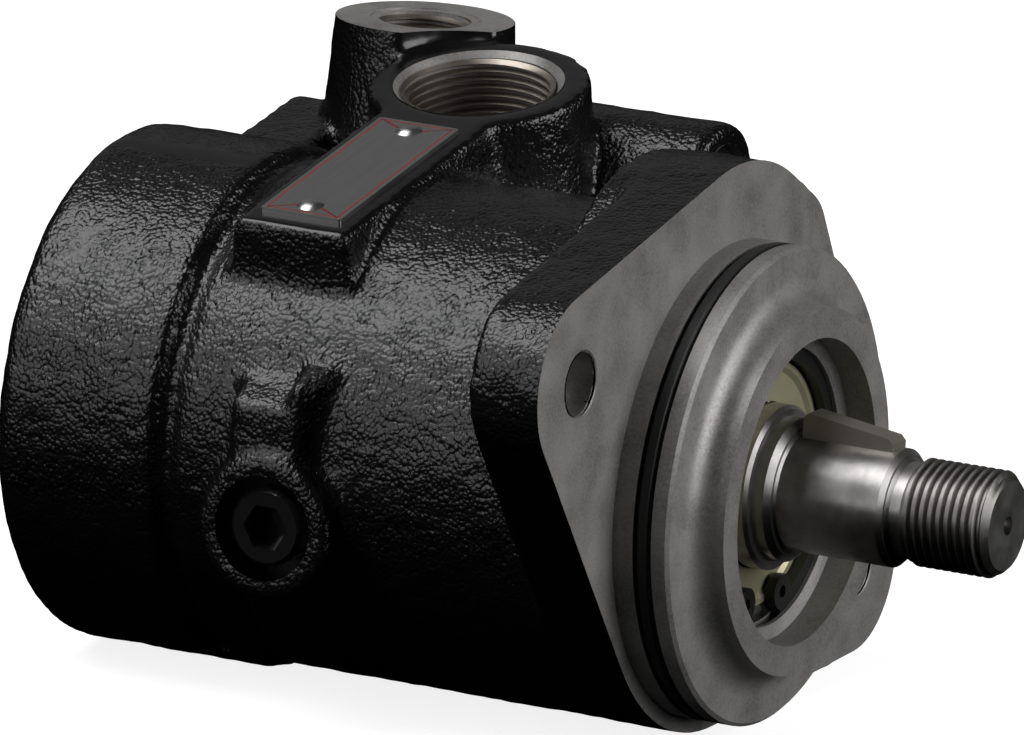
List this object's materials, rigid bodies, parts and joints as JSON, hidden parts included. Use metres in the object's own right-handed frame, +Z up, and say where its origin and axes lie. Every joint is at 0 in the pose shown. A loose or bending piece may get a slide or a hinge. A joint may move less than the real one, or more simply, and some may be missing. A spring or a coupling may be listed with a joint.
{
  "type": "hydraulic vane pump",
  "caption": "Flange-mounted hydraulic vane pump with a round pilot, a keyed and threaded drive shaft, two threaded ports and a built-in flow-control valve.",
  "frame": {"origin": "centre of the round pilot on the face of the mounting flange", "axes": "+X out of the pump along the drive shaft, +Z up through the pressure port, -Y the side with the hexagon socket plug"},
  "size_m": [0.166, 0.14, 0.1019],
  "materials": {
    "black_paint": "gloss",
    "cast_iron": "machined",
    "rubber": "satin",
    "black_steel": "satin",
    "ground_steel": "ground",
    "key_steel": "satin",
    "bearing_steel": "polished",
    "cage_steel": "satin",
    "plated_steel": "yellow zinc plate",
    "hard_steel": "ground",
    "bronze": "machined",
    "spring_steel": "satin",
    "black_plug": "gloss",
    "plate_metal": "brushed"
  },
  "bodies": {
    "pump_body": {"housing": "black_paint", "rear_cover": "cast_iron", "cover_o_ring": "rubber", "cover_snap_ring": "black_steel", "pilot_o_ring": "rubber", "bearing_outer_ring": "bearing_steel", "bearing_shield": "plated_steel", "bearing_snap_ring": "black_steel", "shaft_seal": "rubber", "front_port_plate": "cast_iron", "cam_ring": "hard_steel", "pressure_plate": "cast_iron", "dowel_pins": "hard_steel", "shaft_bush": "bronze", "pack_spring": "spring_steel", "valve_plug": "black_plug", "side_plug": "black_plug", "name_plate": "plate_metal", "name_plate_rivets": "plate_metal", "valve_spring": "spring_steel"},
    "shaft": {"drive_shaft": "ground_steel", "woodruff_key": "key_steel", "bearing_inner_ring": "bearing_steel", "rotor": "hard_steel", "rotor_snap_ring": "black_steel"},
    "cage": {"bearing_balls": "bearing_steel", "bearing_cage": "cage_steel"},
    "spool": {"valve_spool": "hard_steel", "relief_ball": "bearing_steel", "relief_screw": "hard_steel", "relief_spring": "spring_steel"},
    "vane_01": {"vane_01": "hard_steel"},
    "vane_02": {"vane_02": "hard_steel"},
    "vane_03": {"vane_03": "hard_steel"},
    "vane_04": {"vane_04": "hard_steel"},
    "vane_05": {"vane_05": "hard_steel"},
    "vane_06": {"vane_06": "hard_steel"},
    "vane_07": {"vane_07": "hard_steel"},
    "vane_08": {"vane_08": "hard_steel"},
    "vane_09": {"vane_09": "hard_steel"},
    "vane_10": {"vane_10": "hard_steel"}
  },
  "joints": [
    {"name": "shaft_spin", "type": "hinge", "parent": "pump_body", "child": "shaft", "pos_m": [0, 0, 0], "axis": [1, 0, 0], "continuous": true},
    {"name": "cage_spin", "type": "hinge", "parent": "pump_body", "child": "cage", "pos_m": [0, 0, 0], "axis": [1, 0, 0], "continuous": true},
    {"name": "spool_slide", "type": "slide", "parent": "pump_body", "child": "spool", "axis": [-1, 0, 0], "range_m": [0, 0.009], "stiffness_N_per_m": 6000, "springref_m": -0.004, "deforming": ["valve_spring"]},
    {"name": "vane_01_slide", "type": "slide", "parent": "shaft", "child": "vane_01", "axis": [0, 0.9511, 0.309], "range_m": [-0.0024, 0]},
    {"name": "vane_02_slide", "type": "slide", "parent": "shaft", "child": "vane_02", "axis": [0, 0.5878, 0.809], "range_m": [-0.0024, 0]},
    {"name": "vane_03_slide", "type": "slide", "parent": "shaft", "child": "vane_03", "axis": [0, 0, 1], "range_m": [-0.0024, 0]},
    {"name": "vane_04_slide", "type": "slide", "parent": "shaft", "child": "vane_04", "axis": [0, -0.5878, 0.809], "range_m": [-0.0024, 0]},
    {"name": "vane_05_slide", "type": "slide", "parent": "shaft", "child": "vane_05", "axis": [0, -0.9511, 0.309], "range_m": [-0.0024, 0]},
    {"name": "vane_06_slide", "type": "slide", "parent": "shaft", "child": "vane_06", "axis": [0, -0.9511, -0.309], "range_m": [-0.0024, 0]},
    {"name": "vane_07_slide", "type": "slide", "parent": "shaft", "child": "vane_07", "axis": [0, -0.5878, -0.809], "range_m": [-0.0024, 0]},
    {"name": "vane_08_slide", "type": "slide", "parent": "shaft", "child": "vane_08", "axis": [0, 0, -1], "range_m": [-0.0024, 0]},
    {"name": "vane_09_slide", "type": "slide", "parent": "shaft", "child": "vane_09", "axis": [0, 0.5878, -0.809], "range_m": [-0.0024, 0]},
    {"name": "vane_10_slide", "type": "slide", "parent": "shaft", "child": "vane_10", "axis": [0, 0.9511, -0.309], "range_m": [-0.0024, 0]}
  ],
  "couplings": [
    {"joint": "cage_spin", "follows": "shaft_spin", "ratio": 0.382}
  ]
}
